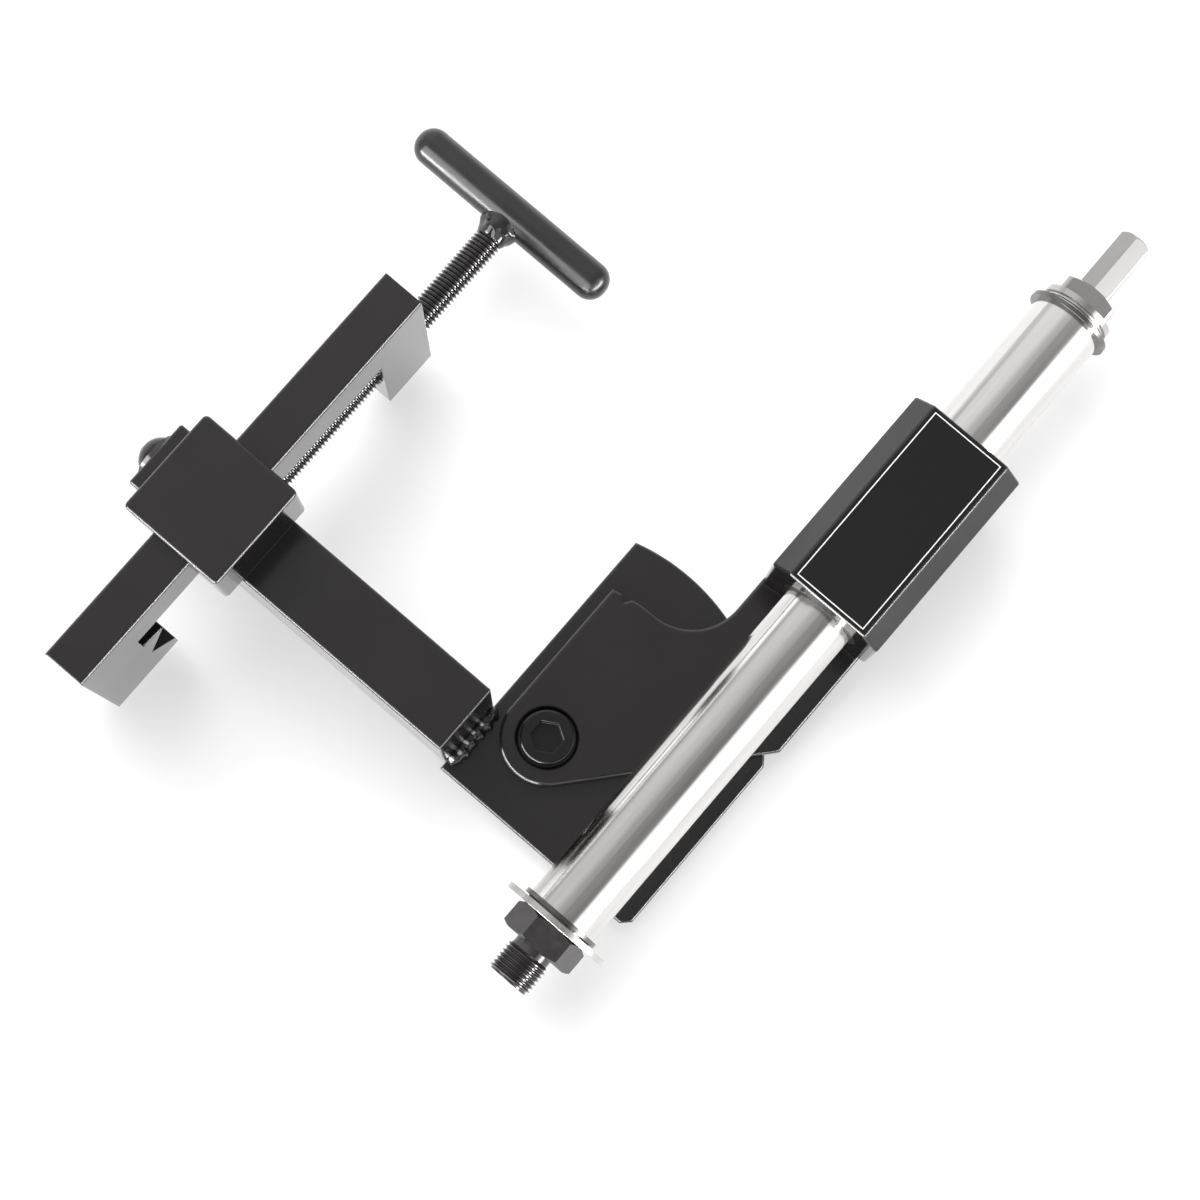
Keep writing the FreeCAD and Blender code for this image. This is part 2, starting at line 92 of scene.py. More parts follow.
class NotcherThreads(bpy.types.PropertyGroup):
    clamp_pitch: length("Clamp screw pitch", "From turn to turn of the clamp screw", 1.5 * MM)
    arbor_pitch: length("Arbor pitch", "From turn to turn of the saw's thread", 1.5 * MM)
    neck_length: length("Arbor neck", "Relief between the arbor thread and the nut", 2.3 * MM)
    neck_radius: length("Arbor neck radius", "Radius of that relief", 6.9 * MM)
    steps: IntProperty(name="Steps", description="Segments in one turn", default=36, min=8)


class NotcherWelds(bpy.types.PropertyGroup):
    ripple: length("Ripple", "From one frozen wave of the bead to the next", 4.0 * MM)
    ripple_height: length("Ripple height", "How far the waves stand out", 0.8 * MM)
    lump_height: length("Lump height", "How far the bead wanders from its line", 0.9 * MM)


class NotcherColours(bpy.types.PropertyGroup):
    enamel: colour("Enamel", "Satin black on plates and bars", "#171414")
    gloss_enamel: colour("Gloss enamel", "Black on the handle and the welds", "#1f1e1f")
    black_oxide: colour("Black oxide", "Nuts, screws and threads", "#545253")
    bolt: colour("Bolts", "The pivot bolt and the screw at the arm's end", "#0f0f10")
    spring_steel: colour("Spring steel", "Snap rings", "#6c6b6b")
    ground_steel: colour("Ground steel", "Quill tube", "#cfcdcb")
    zinc: colour("Zinc", "Washers", "#bbb9b7")
    bright_steel: colour("Bright steel", "Drive shank and its collar", "#b0adab")
    bronze: colour("Bronze", "Bushes and bearings", "#3b3530")
    label: colour("Label", "Bare label plate", "#0f0e0f")
    border: colour("Label border", "Thin line round the label", "#e6e6e6")
    floor: colour("Floor", "Studio floor", "#f2f2f2")


class NotcherStage(bpy.types.PropertyGroup):
    place: FloatVectorProperty(name="Camera place", description="Where the camera stands",
                               default=(0.0403, -0.0534, 0.888), subtype="TRANSLATION")
    turn: FloatVectorProperty(name="Camera turn", description="How the camera is turned",
                              default=[math.radians(a) for a in (7.3892, -1.4343, 40.57)],
                              subtype="EULER")
    lens: FloatProperty(name="Lens", description="Focal length in mm, on a frame of 36 mm",
                        default=78.42, min=1)
    key_power: FloatProperty(name="Key lamp", description="Watts of the lamp that casts shadows",
                             default=33, min=0)
    right_power: FloatProperty(name="Right card", description="Watts of the strip on the right",
                               default=40, min=0)
    front_power: FloatProperty(name="Front card", description="Watts of the card in front",
                               default=38, min=0)
    strip_power: FloatProperty(name="Front strip", description="Watts of the low strip in front",
                               default=40, min=0)
    sky: FloatProperty(name="Sky", description="Strength of the surrounding light",
                       default=0.72, min=0)


# Nodes and materials


def add(tree, kind, links=None, **settings):
    """Adds a node with its settings, values and links to other nodes' outputs."""
    made = tree.nodes.new(kind)
    for name, value in settings.items():
        setattr(made, name, value)
    for socket, value in (links or {}).items():
        if isinstance(value, bpy.types.NodeSocket):
            tree.links.new(value, made.inputs[socket])
        else:
            made.inputs[socket].default_value = value
    return made


def empty_tree(owner):
    """The node tree of a material or a world, with nothing in it."""
    owner.use_nodes = True
    owner.node_tree.nodes.clear()
    return owner.node_tree


def start_material(name, base, **principled):
    """A material with a Principled shader and the object's own coordinates."""
    material = bpy.data.materials.new(name)
    tree = empty_tree(material)
    shader = add(tree, "ShaderNodeBsdfPrincipled", {"Base Color": (*base, 1), **principled})
    add(tree, "ShaderNodeOutputMaterial", {"Surface": shader.outputs[0]})
    place = add(tree, "ShaderNodeTexCoord").outputs["Object"]
    material.diffuse_color = (*base, 1)
    return material, tree, shader, place


def grain(tree, place, size, stretch=(1, 1, 1), detail=2.0):
    """Noise whose spots are about size across, times stretch along each axis."""
    scaled = add(tree, "ShaderNodeMapping", {
        "Vector": place, "Scale": [1 / (size * s) for s in stretch]})
    return add(tree, "ShaderNodeTexNoise", {
        "Vector": scaled.outputs[0], "Scale": 1.0, "Detail": detail}).outputs["Fac"]


def shade(base, factor):
    return tuple(min(1, c * factor) for c in base)


def vary_colour(tree, shader, pattern, base, low, high):
    """Lets the colour drift between two shades of itself, as the pattern goes from 0 to 1."""
    mix = add(tree, "ShaderNodeMix", {
        0: pattern, 6: (*shade(base, low), 1), 7: (*shade(base, high), 1)}, data_type="RGBA")
    tree.links.new(mix.outputs[2], shader.inputs["Base Color"])


def vary_roughness(tree, shader, pattern, low, high):
    """Lets the roughness drift between two values, over the range that noise seldom leaves."""
    rough = add(tree, "ShaderNodeMapRange", {
        "Value": pattern, "From Min": 0.25, "From Max": 0.75, "To Min": low, "To Max": high})
    tree.links.new(rough.outputs[0], shader.inputs["Roughness"])


def relief(tree, shader, height, depth, edge=0.0):
    """Raises the surface by a pattern, and softens its edges over the given width."""
    made = add(tree, "ShaderNodeBump", {"Height": height, "Strength": 1.0, "Distance": depth})
    if edge:
        soft = add(tree, "ShaderNodeBevel", {"Radius": edge}, samples=8)
        tree.links.new(soft.outputs[0], made.inputs["Normal"])
    tree.links.new(made.outputs[0], shader.inputs["Normal"])


def satin_enamel(base):
    """Stove enamel, sprayed satin: a faint orange peel that breaks up reflections."""
    material, tree, shader, place = start_material(
        "satin_black_enamel", base, Roughness=0.15, IOR=1.58)
    patches = grain(tree, place, 25 * MM, detail=3)
    vary_colour(tree, shader, patches, base, 0.88, 1.14)
    vary_roughness(tree, shader, patches, 0.12, 0.19)
    relief(tree, shader, grain(tree, place, 0.7 * MM), 0.004 * MM, 1.0 * MM)
    return material


def gloss_enamel(base):
    """The same enamel where it ran thicker: on the round handle it is nearly glossy."""
    material, tree, shader, place = start_material(
        "gloss_black_enamel", base, Roughness=0.22, IOR=1.5)
    patches = grain(tree, place, 14 * MM, detail=3)
    vary_roughness(tree, shader, patches, 0.2, 0.34)
    relief(tree, shader, grain(tree, place, 1.6 * MM), 0.012 * MM)
    return material


def weld_enamel(base):
    """Enamel over weld metal: glossy on the frozen waves, with pinholes between."""
    material, tree, shader, place = start_material(
        "enamel_on_weld_metal", base, Roughness=0.16, IOR=1.52)
    rough = grain(tree, place, 1.6 * MM)
    vary_roughness(tree, shader, rough, 0.07, 0.2)
    relief(tree, shader, rough, 0.1 * MM)
    return material


def black_oxide(base):
    """Blackened and oiled steel: dark metal with sharp but dim highlights."""
    material, tree, shader, place = start_material(
        "black_oxide_steel", base, Roughness=0.22, Metallic=0.85)
    patches = grain(tree, place, 3 * MM, detail=4)
    vary_colour(tree, shader, patches, base, 0.82, 1.2)
    vary_roughness(tree, shader, patches, 0.15, 0.25)
    relief(tree, shader, grain(tree, place, 0.5 * MM), 0.004 * MM)
    return material


def bolt_black(base):
    """A hardened bolt, black from the quench oil: darker and glossier than the enamel."""
    material, tree, shader, place = start_material(
        "oil_blackened_steel", base, Roughness=0.2, IOR=1.45)
    patches = grain(tree, place, 2 * MM, detail=3)
    vary_roughness(tree, shader, patches, 0.13, 0.24)
    relief(tree, shader, patches, 0.01 * MM, 0.6 * MM)
    return material


def ground_steel(base):
    """Centreless ground tube: fine rings round it, and long faint rub marks from the block."""
    material, tree, shader, place = start_material(
        "ground_steel", base, Roughness=0.15, Metallic=1.0)
    rubs = grain(tree, place, 2.2 * MM, stretch=(1, 22, 1), detail=4)
    vary_colour(tree, shader, rubs, base, 0.84, 1.08)
    vary_roughness(tree, shader, rubs, 0.1, 0.2)
    # Grinding lines are finer than this and would not show, so they are drawn 0.5 mm apart.
    relief(tree, shader, grain(tree, place, 0.5 * MM, stretch=(30, 1, 30)), 0.0012 * MM)
    return material


def spring_steel(base):
    """Tempered spring steel of the snap rings: smooth, dark and a little brown."""
    material, tree, shader, place = start_material(
        "tempered_spring_steel", base, Roughness=0.26, Metallic=1.0)
    heat = grain(tree, place, 5 * MM)
    vary_colour(tree, shader, heat, base, 0.8, 1.15)
    relief(tree, shader, heat, 0.002 * MM, 0.3 * MM)
    return material


def zinc_plate(base):
    """Bright zinc on a pressed washer: almost white, slightly clouded."""
    material, tree, shader, place = start_material(
        "zinc_plated_steel", base, Roughness=0.24, Metallic=1.0)
    clouds = grain(tree, place, 4 * MM, detail=4)
    vary_colour(tree, shader, clouds, base, 0.94, 1.04)
    vary_roughness(tree, shader, clouds, 0.22, 0.3)
    relief(tree, shader, clouds, 0.002 * MM, 0.25 * MM)
    return material


def bright_steel(base):
    """Drawn and milled steel: faint lines along the bar."""
    material, tree, shader, place = start_material(
        "bright_drawn_steel", base, Roughness=0.3, Metallic=1.0)
    lines = grain(tree, place, 0.5 * MM, stretch=(1, 40, 1), detail=3)
    vary_colour(tree, shader, lines, base, 0.94, 1.04)
    vary_roughness(tree, shader, lines, 0.2, 0.26)
    relief(tree, shader, lines, 0.0005 * MM, 0.3 * MM)
    return material


def bearing_bronze(base):
    """Sintered bronze, dark with the oil that it holds."""
    material, tree, shader, place = start_material(
        "sintered_bronze", base, Roughness=0.45, Metallic=1.0)
    spots = grain(tree, place, 0.8 * MM, detail=3)
    vary_colour(tree, shader, spots, base, 0.8, 1.12)
    return material


def label_print(base):
    """Satin black print on thin aluminium, left bare."""
    material, tree, shader, place = start_material(
        "black_label_print", base, Roughness=0.4, IOR=1.32)
    relief(tree, shader, grain(tree, place, 0.9 * MM), 0.004 * MM)
    return material


def label_line(base):
    """The pale line printed round the label."""
    material, tree, shader, place = start_material(
        "pale_label_print", base, Roughness=0.4, IOR=1.5)
    worn = grain(tree, place, 1.5 * MM)
    vary_colour(tree, shader, worn, base, 0.85, 1.0)
    return material


MAKERS = {"enamel": satin_enamel, "gloss_enamel": gloss_enamel, "weld_enamel": weld_enamel,
          "black_oxide": black_oxide, "bolt": bolt_black, "spring_steel": spring_steel,
          "ground_steel": ground_steel, "zinc": zinc_plate, "bright_steel": bright_steel,
          "bronze": bearing_bronze, "label": label_print, "border": label_line}
# Finishes that take another's colour
COLOUR_OF = {"weld_enamel": "gloss_enamel"}
MADE = {}


def finish(kind):
    """The material of that finish, made once."""
    if kind not in MADE:
        colours = bpy.context.scene.notcher_colours
        MADE[kind] = MAKERS[kind](tuple(getattr(colours, COLOUR_OF.get(kind, kind))))
    return MADE[kind]


# Meshes

ROUND_SEGMENTS = 64
# The ISO thread's depth as a share of its pitch, and the form of one turn: the share of the
# pitch, and 0 in the root or 1 on the crest.
THREAD_DEPTH = 0.6134
THREAD_FORM = ((0, 0), (0.25, 0), (0.5625, 1), (0.6875, 1), (1, 0))
# A weld bead: rings in one ripple, corners of a ring, and how slim it starts, as a share of
# its radius.
BEAD_RINGS = 6
BEAD_SEGMENTS = 20
BEAD_TIP = 0.35


def link_object(name, data):
    made = bpy.data.objects.new(name, data)
    bpy.context.scene.collection.objects.link(made)
    return made


def put_in_scene(bm, name, kind, body, stands_for=(), sharp=32):
    """Turns a finished bmesh into a piece that rides on its body.

    Edges that turn by more than sharp degrees stay hard.
    """
    bmesh.ops.recalc_face_normals(bm, faces=bm.faces)
    for face in bm.faces:
        face.smooth = True
    for edge in bm.edges:
        if len(edge.link_faces) == 2 and edge.calc_face_angle() > math.radians(sharp):
            edge.smooth = False
    mesh = bpy.data.meshes.new(name)
    bm.to_mesh(mesh)
    bm.free()
    piece = link_object(name, mesh)
    mesh.materials.append(finish(kind))
    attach(piece, body)
    if stands_for:
        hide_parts(*stands_for)


def along_y(x, z):
    """Turns a bmesh primitive's own Z axis to +Y, on the line at x and z."""
    return Matrix.Translation((x, 0, z)) @ Matrix.Rotation(math.radians(-90), 4, "X")


def add_rod(bm, x, z, y0, y1, radius):
    """A closed cylinder along Y."""
    place = Matrix.Translation((0, (y0 + y1) / 2, 0)) @ along_y(x, z)
    bmesh.ops.create_cone(bm, cap_ends=True, segments=ROUND_SEGMENTS, radius1=radius,
                          radius2=radius, depth=y1 - y0, matrix=place)


def add_thread(bm, x, z, y0, y1, radius, pitch, steps, end_chamfer):
    """A closed rod along Y with a right-hand thread of ISO form cut into it."""
    depth = THREAD_DEPTH * pitch
    # The coil starts and ends beyond both faces, which then cut it off square.
    start = y0 - pitch * 1.5
    chain = [bm.verts.new((x + radius - depth * (1 - high), start + pitch * share, z))
             for share, high in THREAD_FORM]
    edges = [bm.edges.new(pair) for pair in zip(chain, chain[1:])]
    turns = math.ceil((y1 - y0) / pitch) + 3
    bmesh.ops.spin(bm, geom=chain + edges, cent=(x, 0, z), axis=(0, 1, 0),
                   dvec=(0, pitch / steps, 0), angle=math.tau * turns, steps=steps * turns)
    bmesh.ops.remove_doubles(bm, verts=bm.verts, dist=pitch / 200)
    for y, normal in ((y0, (0, -1, 0)), (y1, (0, 1, 0))):
        cut = bmesh.ops.bisect_plane(bm, geom=bm.verts[:] + bm.edges[:] + bm.faces[:],
                                     dist=pitch / 500, plane_co=(x, y, z), plane_no=normal,
                                     clear_outer=True)
        rim = [e for e in cut["geom_cut"] if isinstance(e, bmesh.types.BMEdge)]
        bmesh.ops.edgeloop_fill(bm, edges=rim)
    for vert in bm.verts:
        off = Vector((vert.co.x - x, 0, vert.co.z - z))
        inward = min(vert.co.y - y0, y1 - vert.co.y)
        limit = radius - max(0, end_chamfer - inward)
        if off.length > limit > 0:
            off *= limit / off.length
            vert.co = Vector((x + off.x, vert.co.y, z + off.z))


def wander(bm, size, height, seed):
    """Moves the vertices along their normals by smooth noise, as weld metal wanders."""
    bm.normal_update()
    # Each seed takes another place in the noise.
    shift = Vector((seed, seed * 0.37, seed * 0.71))
    for vert in bm.verts:
        vert.co += vert.normal * noise.noise(vert.co / size + shift) * height


def add_bead(bm, start, end, radius, welds, seed):
    """A weld bead from start to end: a tube of frozen waves with rounded ends."""
    run = end - start
    count = max(8, round(run.length / welds.ripple * BEAD_RINGS))
    turn = Vector((0, 0, 1)).rotation_difference(run).to_matrix().to_4x4()
    size = radius * BEAD_TIP
    ring = bmesh.ops.create_circle(bm, segments=BEAD_SEGMENTS, radius=size, cap_ends=True,
                                   matrix=Matrix.Translation(start) @ turn)["verts"]
    edges = [e for e in bm.edges if e.verts[0] in ring and e.verts[1] in ring]
    for step in range(1, count + 1):
        share = step / count
        ends = math.sqrt(max(0.1, 1 - abs(2 * share - 1) ** (run.length / radius)))
        wave = abs(math.sin(math.pi * share * run.length / welds.ripple))
        wanted = (radius + welds.ripple_height * (wave - 0.5)) * ends
        made = bmesh.ops.extrude_edge_only(bm, edges=edges)["geom"]
        verts = [v for v in made if isinstance(v, bmesh.types.BMVert)]
        edges = [e for e in made if isinstance(e, bmesh.types.BMEdge)]
        bmesh.ops.translate(bm, verts=verts, vec=run / count)
        centre = start + run * share
        bmesh.ops.scale(bm, verts=verts, vec=[wanted / size] * 3,
                        space=Matrix.Translation(-centre))
        size = wanted
    bmesh.ops.edgeloop_fill(bm, edges=edges)
    bmesh.ops.recalc_face_normals(bm, faces=bm.faces)
    wander(bm, radius * 0.9, welds.lump_height, seed)
    bmesh.ops.smooth_vert(bm, verts=bm.verts, factor=0.3, use_axis_x=True, use_axis_y=True,
                          use_axis_z=True)


# Lumps of the handle's weld: degrees round the screw from +X over +Z, share of the way to
# the handle, the lump's spread in both, and its height as a share of the weld's radius.
LUMPS = ((100, 0.42, 34, 0.2, 0.2), (172, 0.55, 26, 0.24, 0.22), (8, 0.72, 26, 0.2, 0.26),
         (48, 0.5, 13, 0.12, 0.1), (138, 0.72, 12, 0.12, 0.1), (-50, 0.5, 34, 0.22, 0.2),
         (-125, 0.6, 30, 0.22, 0.2))
# The puddle's far end before its lumps, as a share of its radius; how blunt both its ends
# are, as the power of their curve; and how far it covers the handle and how slim it starts.
PUDDLE_WIDE = 0.86
PUDDLE_BLUNTNESS = 7
PUDDLE_LAP = 4.0 * MM
PUDDLE_SLIM = 5.3 * MM


def add_puddle(bm, middle, long, slim, wide):
    """Weld metal that ran round a rod along Y: slim where it starts, wide at the far end."""
    verts = bmesh.ops.create_uvsphere(bm, u_segments=96, v_segments=ROUND_SEGMENTS, radius=1,
                                      matrix=along_y(0, 0))["verts"]
    for vert in verts:
        way = math.asin(max(-1, min(1, vert.co.y))) / math.pi + 0.5
        round_it = math.degrees(math.atan2(vert.co.z, vert.co.x))
        radius = slim + (wide * PUDDLE_WIDE - slim) * way * way
        for turn, place, turn_spread, way_spread, height in LUMPS:
            off = (round_it - turn + 180) % 360 - 180
            radius += wide * height * math.exp(-(off / turn_spread) ** 2
                                               - ((way - place) / way_spread) ** 2)
        radius *= (1 - abs(2 * way - 1) ** PUDDLE_BLUNTNESS) ** 0.5
        flat = Vector((vert.co.x, 0, vert.co.z))
        flat = flat.normalized() * radius if flat.length > 1e-6 else flat
        vert.co = middle + flat + Vector((0, (way - 0.5) * long, 0))


# Operators: one for each group of pieces

CLAMP_CHAMFER = 0.8 * MM
ARBOR_CHAMFER = 1.0 * MM
SCREW_IN_HANDLE = 1.5 * MM
# The share of the bar's radius that its ends are rounded by, and that rounding's segments
HANDLE_ROUNDING = 0.93
HANDLE_ROUND_STEPS = 14
# The neck reaches this far into the thread and the nut, and the plain spindle is this much
# slimmer than the thread.
NECK_LAP = 0.3 * MM
PLAIN_GAP = 0.02 * MM
# Beads of the plates: the solid that each stands for, its body, the corner that it fills,
# its axis and its seed. Its depth in the corner and its radius are shares of the solid's leg.
PLATE_BEADS = (("arm_weld", "base", (-1, 0, -1), "y", 4.1),
               ("saddle_weld", "base", (1, 0, -1), "y", 7.7),
               ("block_weld", "swivel_head", (0, 1, -1), "x", 12.9))
BEAD_DEPTH = 0.22
BEAD_RADIUS = 0.76


class NotcherOperator:
    bl_options = {"REGISTER", "UNDO"}


class NOTCHER_OT_clamp_screw(NotcherOperator, bpy.types.Operator):
    """Cuts the clamp screw's thread"""
    bl_idname = "notcher.clamp_screw"
    bl_label = "Clamp screw"

    def execute(self, context):
        threads = context.scene.notcher_threads
        middle = (SCREW_LOW + SCREW_HIGH) / 2
        bm = bmesh.new()
        add_thread(bm, HANDLE_MIDDLE.x, HANDLE_MIDDLE.z, SCREW_LOW.y,
                   HANDLE_LOW.y + SCREW_IN_HANDLE, middle.z - SCREW_LOW.z,
                   threads.clamp_pitch, threads.steps, CLAMP_CHAMFER)
        put_in_scene(bm, "clamp_screw_thread", "black_oxide", "clamp_screw_body",
                     ["clamp_screw"], sharp=25)
        return {"FINISHED"}


class NOTCHER_OT_handle(NotcherOperator, bpy.types.Operator):
    """Rounds the T handle and its weld"""
    bl_idname = "notcher.handle"
    bl_label = "T handle"

    def execute(self, context):
        welds = context.scene.notcher_welds
        radius = (HANDLE_HIGH.z - HANDLE_LOW.z) / 2
        bm = bmesh.new()
        place = Matrix.Translation(HANDLE_MIDDLE) @ Matrix.Rotation(math.radians(90), 4, "Y")
        bmesh.ops.create_cone(bm, cap_ends=True, segments=ROUND_SEGMENTS, radius1=radius,
                              radius2=radius, depth=HANDLE_HIGH.x - HANDLE_LOW.x,
                              matrix=place)
        rims = [e for e in bm.edges if len({round(v.co.x, 6) for v in e.verts}) == 1]
        bmesh.ops.bevel(bm, geom=rims, offset=radius * HANDLE_ROUNDING, offset_type="OFFSET",
                        segments=HANDLE_ROUND_STEPS, profile=0.5, affect="EDGES", material=-1,
                        clamp_overlap=True)
        put_in_scene(bm, "handle_bar", "gloss_enamel", "clamp_screw_body",
                     ["t_handle"], sharp=60)
        low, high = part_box("handle_weld")
        middle = Vector((HANDLE_MIDDLE.x, (low.y + HANDLE_LOW.y + PUDDLE_LAP) / 2,
                         HANDLE_MIDDLE.z))
        bm = bmesh.new()
        add_puddle(bm, middle, HANDLE_LOW.y + PUDDLE_LAP - low.y, PUDDLE_SLIM,
                   (high.z - low.z) / 2)
        wander(bm, 5 * MM, welds.lump_height * 0.4, 3.1)
        put_in_scene(bm, "handle_weld_bead", "weld_enamel", "clamp_screw_body",
                     ["handle_weld"], sharp=80)
        return {"FINISHED"}


class NOTCHER_OT_arbor(NotcherOperator, bpy.types.Operator):
    """Cuts the arbor's thread and neck, with the plain spindle behind them"""
    bl_idname = "notcher.arbor"
    bl_label = "Arbor"

    def execute(self, context):
        threads = context.scene.notcher_threads
        x, z = SPINDLE_AXIS.x, SPINDLE_AXIS.z
        radius = (SPINDLE_HIGH.x - SPINDLE_LOW.x) / 2
        neck = NUT_LOW.y - threads.neck_length
        bm = bmesh.new()
        add_thread(bm, x, z, SPINDLE_LOW.y, neck, radius, threads.arbor_pitch, threads.steps,
                   ARBOR_CHAMFER)
        add_rod(bm, x, z, neck - NECK_LAP, NUT_LOW.y + NECK_LAP, threads.neck_radius)
        add_rod(bm, x, z, NUT_LOW.y, SPINDLE_HIGH.y, radius - PLAIN_GAP)
        put_in_scene(bm, "arbor_thread", "black_oxide", "spindle",
                     ["spindle_shaft"], sharp=25)
        return {"FINISHED"}


class NOTCHER_OT_plate_welds(NotcherOperator, bpy.types.Operator):
    """Lays the beads that join the arm, the saddle and the block"""
    bl_idname = "notcher.plate_welds"
    bl_label = "Plate welds"

    def execute(self, context):
        welds = context.scene.notcher_welds
        for node, body, corner, run_axis, seed in PLATE_BEADS:
            low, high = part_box(node)
            middle = (low + high) / 2
            leg = high.z - low.z
            heel = Vector([middle[i] + corner[i] * leg / 2 for i in range(3)])
            centre = heel - Vector(corner) * leg * BEAD_DEPTH
            radius = leg * BEAD_RADIUS
            index = "xyz".index(run_axis)
            start, end = centre.copy(), centre.copy()
            start[index], end[index] = low[index], high[index]
            bm = bmesh.new()
            add_bead(bm, start, end, radius, welds, seed)
            put_in_scene(bm, node + "_bead", "weld_enamel", body, [node], sharp=80)
        return {"FINISHED"}


class NOTCHER_OT_label_border(NotcherOperator, bpy.types.Operator):
    """Lays the thin pale line round the bare label"""
    bl_idname = "notcher.label_border"
    bl_label = "Label border"

    inset: length("Inset", "From the label's edge to the line", 1.0 * MM)
    width: length("Width", "Width of the line", 0.35 * MM)
    height: length("Height", "Thickness of the print", 0.03 * MM)

    def execute(self, context):
        low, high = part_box("label_plate")
        middle = (low + high) / 2
        size = high - low
        bm = bmesh.new()
        bmesh.ops.create_grid(
            bm, x_segments=1, y_segments=1, size=1,
            matrix=Matrix.Translation((middle.x, middle.y, high.z + self.height))
            @ Matrix.Diagonal((size.x / 2 - self.inset, size.y / 2 - self.inset, 1, 1)))
        bmesh.ops.inset_region(bm, faces=bm.faces[:], thickness=self.width, depth=0,
                               use_boundary=True, use_even_offset=True)
        inner = min(bm.faces, key=lambda face: sum((v.co - middle).length for v in face.verts))
        bmesh.ops.delete(bm, geom=[inner], context="FACES")
        bmesh.ops.solidify(bm, geom=bm.faces[:], thickness=self.height)
        put_in_scene(bm, "label_border", "border", "swivel_head")
        return {"FINISHED"}


class NOTCHER_OT_finishes(NotcherOperator, bpy.types.Operator):
    """Gives each solid that stays its finish"""
    bl_idname = "notcher.finishes"
    bl_label = "Finishes"

    def execute(self, context):
        kinds = {
            "enamel": ["base_plate", "clamp_arm", "saddle", "clamp_frame", "swivel_plate",
                       "bearing_block"],
            "bolt": ["pivot_bolt", "arm_end_screw"],
            "black_oxide": ["arm_end_washer", "spindle_nut"],
            "spring_steel": ["front_retaining_ring", "rear_retaining_ring"],
            "ground_steel": ["quill_tube"],
            "zinc": ["flange_washer", "thrust_washer"],
            "bright_steel": ["drive_shank"],
            "bronze": ["front_guide_bush", "rear_guide_bush", "front_spindle_bearing",
                       "rear_spindle_bearing"],
            "label": ["label_plate"]}
        for kind, nodes in kinds.items():
            for node in nodes:
                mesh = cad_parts[node].data
                mesh.materials.clear()
                mesh.materials.append(finish(kind))
        return {"FINISHED"}


# Stage

FLOOR_REACH = 4  # metres from the middle to each edge
FILM_WIDTH = 36  # mm
# The camera and reflections see the paper at this share of its colour, plus a glow. To the
# camera the glow grows between two distances from the middle, in metres: further out, where
# the lamps fade, the paper still runs into the white backdrop.
PAPER_SHARE = 0.56
GLOW_START, GLOW_END = 0.6, 1.8
GLOW_NEAR, GLOW_FAR, GLOW_REFLECTED = 0.48, 0.72, 0.65


def floor_material(base):
    """Pale paper: white to the camera and in reflections, still with its soft shadow."""
    material = bpy.data.materials.new("studio_paper")
    tree = empty_tree(material)
    paper = add(tree, "ShaderNodeBsdfDiffuse", {"Color": (*base, 1)})
    seen_paper = add(tree, "ShaderNodeBsdfDiffuse", {"Color": (*shade(base, PAPER_SHARE), 1)})
    path = add(tree, "ShaderNodeLightPath")
    place = add(tree, "ShaderNodeTexCoord").outputs["Object"]
    off = add(tree, "ShaderNodeVectorMath", {0: place}, operation="LENGTH")
    outwards = add(tree, "ShaderNodeMapRange", {
        "Value": off.outputs["Value"], "From Min": GLOW_START, "From Max": GLOW_END,
        "To Min": GLOW_NEAR, "To Max": GLOW_FAR})
    strength = add(tree, "ShaderNodeMapRange", {
        "Value": path.outputs["Is Glossy Ray"], "To Min": outwards.outputs[0],
        "To Max": GLOW_REFLECTED})
    glow = add(tree, "ShaderNodeEmission", {
        "Color": (1, 1, 1, 1), "Strength": strength.outputs[0]})
    both = add(tree, "ShaderNodeAddShader", {0: seen_paper.outputs[0], 1: glow.outputs[0]})
    mirrored = add(tree, "ShaderNodeMath", {
        0: path.outputs["Is Camera Ray"], 1: path.outputs["Is Glossy Ray"]},
        operation="MAXIMUM")
    seen = add(tree, "ShaderNodeMath", {
        0: mirrored.outputs[0], 1: path.outputs["Is Transmission Ray"]}, operation="MAXIMUM")
    pick = add(tree, "ShaderNodeMixShader", {
        0: seen.outputs[0], 1: paper.outputs[0], 2: both.outputs[0]})
    add(tree, "ShaderNodeOutputMaterial", {"Surface": pick.outputs[0]})
    return material


# Brightness of the studio as polished steel sees it, from the wall on the left, over the
# ceiling, to the wall on the right: the place along the way, and the brightness there.
STUDIO = ((0.0, 1.9), (0.012, 1.6), (0.02, 0.64), (0.036, 0.58), (0.06, 0.9), (0.25, 0.85),
          (0.42, 0.52), (0.5, 0.44), (0.62, 0.35), (0.74, 0.28), (0.8, 0.31), (0.835, 1.7),
          (0.96, 1.7), (0.985, 1.6), (1.0, 1.5))
# Towards the rear it grows to REAR_GAIN times that, between these two Y of the direction.
REAR_START, REAR_END, REAR_GAIN = 0.1, 0.32, 1.4


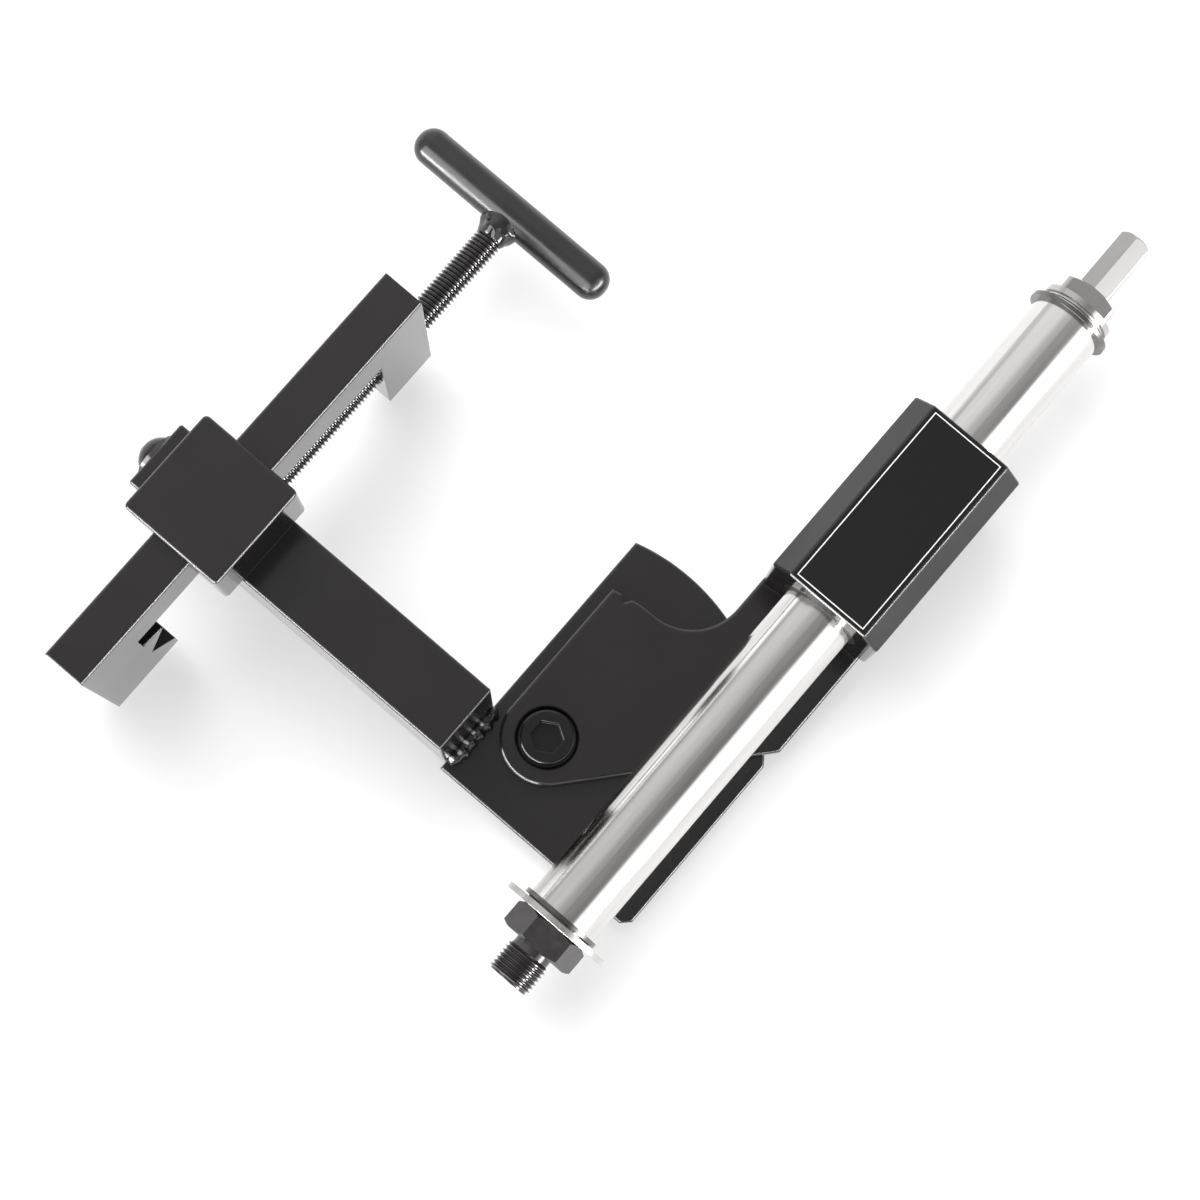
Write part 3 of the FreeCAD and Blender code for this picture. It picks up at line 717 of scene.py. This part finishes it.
def make_world(strength):
    """White to the camera, a soft even sky to matt surfaces, and a studio to glossy ones."""
    world = bpy.data.worlds.new("studio")
    tree = empty_tree(world)
    direction = add(tree, "ShaderNodeTexCoord").outputs["Generated"]
    parts = add(tree, "ShaderNodeSeparateXYZ", {"Vector": direction})
    along = add(tree, "ShaderNodeMapRange", {"Value": parts.outputs["X"], "From Min": -1.0})
    rear = add(tree, "ShaderNodeMapRange", {
        "Value": parts.outputs["Y"], "From Min": REAR_START, "From Max": REAR_END,
        "To Min": 1.0, "To Max": REAR_GAIN})
    ramp = add(tree, "ShaderNodeValToRGB", {"Fac": along.outputs[0]})
    peak = max(value for place, value in STUDIO)
    stops = ramp.color_ramp.elements
    for _ in STUDIO[2:]:
        stops.new(0.5)
    for stop, (place, value) in zip(stops, STUDIO):
        stop.position = place
        stop.color = (value / peak, value / peak, value / peak, 1)
    power = add(tree, "ShaderNodeMath", {0: rear.outputs[0], 1: peak}, operation="MULTIPLY")
    studio = add(tree, "ShaderNodeBackground", {"Color": ramp.outputs["Color"],
                                                "Strength": power.outputs[0]})
    sky = add(tree, "ShaderNodeBackground", {"Color": (1, 1, 1, 1), "Strength": strength})
    white = add(tree, "ShaderNodeBackground", {"Color": (1, 1, 1, 1), "Strength": 1.0})
    path = add(tree, "ShaderNodeLightPath")
    light = add(tree, "ShaderNodeMixShader", {0: path.outputs["Is Glossy Ray"],
                                              1: sky.outputs[0], 2: studio.outputs[0]})
    seen = add(tree, "ShaderNodeMixShader", {0: path.outputs["Is Camera Ray"],
                                             1: light.outputs[0], 2: white.outputs[0]})
    add(tree, "ShaderNodeOutputWorld", {"Surface": seen.outputs[0]})
    return world


# Each lamp's name, its place and its width and height in metres, the stage's field that has
# its power, and whether it is a card, which shows in glossy surfaces alone.
LAMP_AIM = (0, 0.05, 0)
LAMPS = (("key", (-0.75, 0.45, 1.42), (1.2, 1.2), "key_power", False),
         ("right_card", (1.15, 0.05, 0.42), (1.6, 0.25), "right_power", True),
         ("front_card", (-0.1, -1.0, 0.66), (1.6, 1.3), "front_power", True),
         ("front_strip", (-0.1, -1.15, 0.24), (1.6, 0.22), "strip_power", True))


def add_lamp(name, place, size, power, card):
    """An area lamp that no camera sees; the key lamp lights all but glossy reflections."""
    lamp = bpy.data.lights.new(name, "AREA")
    lamp.shape = "RECTANGLE"
    lamp.size, lamp.size_y = size
    lamp.energy = power
    made = link_object(name, lamp)
    made.location = place
    aim = Vector(LAMP_AIM) - Vector(place)
    made.rotation_euler = aim.to_track_quat("-Z", "Y").to_euler()
    made.visible_diffuse = not card
    made.visible_glossy = card
    made.visible_camera = False


class NOTCHER_OT_stage(NotcherOperator, bpy.types.Operator):
    """Sets the floor, the soft lights and the camera"""
    bl_idname = "notcher.stage"
    bl_label = "Stage"

    def execute(self, context):
        scene = context.scene
        stage = scene.notcher_stage
        bm = bmesh.new()
        bmesh.ops.create_grid(bm, x_segments=1, y_segments=1, size=FLOOR_REACH)
        mesh = bpy.data.meshes.new("studio_floor")
        bm.to_mesh(mesh)
        bm.free()
        floor = link_object("studio_floor", mesh)
        mesh.materials.append(floor_material(tuple(scene.notcher_colours.floor)))
        scene.world = make_world(stage.sky)
        for name, place, size, power, card in LAMPS:
            add_lamp(name, place, size, getattr(stage, power), card)
        camera = bpy.data.cameras.new("camera")
        camera.lens = stage.lens
        camera.sensor_width = FILM_WIDTH
        camera.clip_start, camera.clip_end = 0.01, 20
        viewer = link_object("camera", camera)
        viewer.location = stage.place
        viewer.rotation_euler = Euler(stage.turn)
        scene.camera = viewer
        scene.view_settings.view_transform = "Standard"
        return {"FINISHED"}


STEPS = (NOTCHER_OT_finishes, NOTCHER_OT_clamp_screw, NOTCHER_OT_handle, NOTCHER_OT_arbor,
         NOTCHER_OT_plate_welds, NOTCHER_OT_label_border, NOTCHER_OT_stage)
GROUPS = {"notcher_threads": NotcherThreads, "notcher_welds": NotcherWelds,
          "notcher_colours": NotcherColours, "notcher_stage": NotcherStage}


class NOTCHER_PT_pieces(bpy.types.Panel):
    """Lists the steps that dress the notcher"""
    bl_idname = "NOTCHER_PT_pieces"
    bl_label = "Tube Notcher"
    bl_space_type = "VIEW_3D"
    bl_region_type = "UI"
    bl_category = "Notcher"

    def draw(self, context):
        for step in STEPS:
            self.layout.operator(step.bl_idname)
        for name in GROUPS:
            group = getattr(context.scene, name)
            box = self.layout.box()
            for field in group.__annotations__:
                box.prop(group, field)


def register():
    for cls in (*GROUPS.values(), *STEPS, NOTCHER_PT_pieces):
        bpy.utils.register_class(cls)
    for name, cls in GROUPS.items():
        setattr(bpy.types.Scene, name, PointerProperty(type=cls))


def unregister():
    for name in GROUPS:
        delattr(bpy.types.Scene, name)
    for cls in reversed((*GROUPS.values(), *STEPS, NOTCHER_PT_pieces)):
        bpy.utils.unregister_class(cls)


def main():
    register()
    for step in STEPS:
        family, name = step.bl_idname.split(".")
        getattr(getattr(bpy.ops, family), name)()


if __name__ == "__main__":
    main()
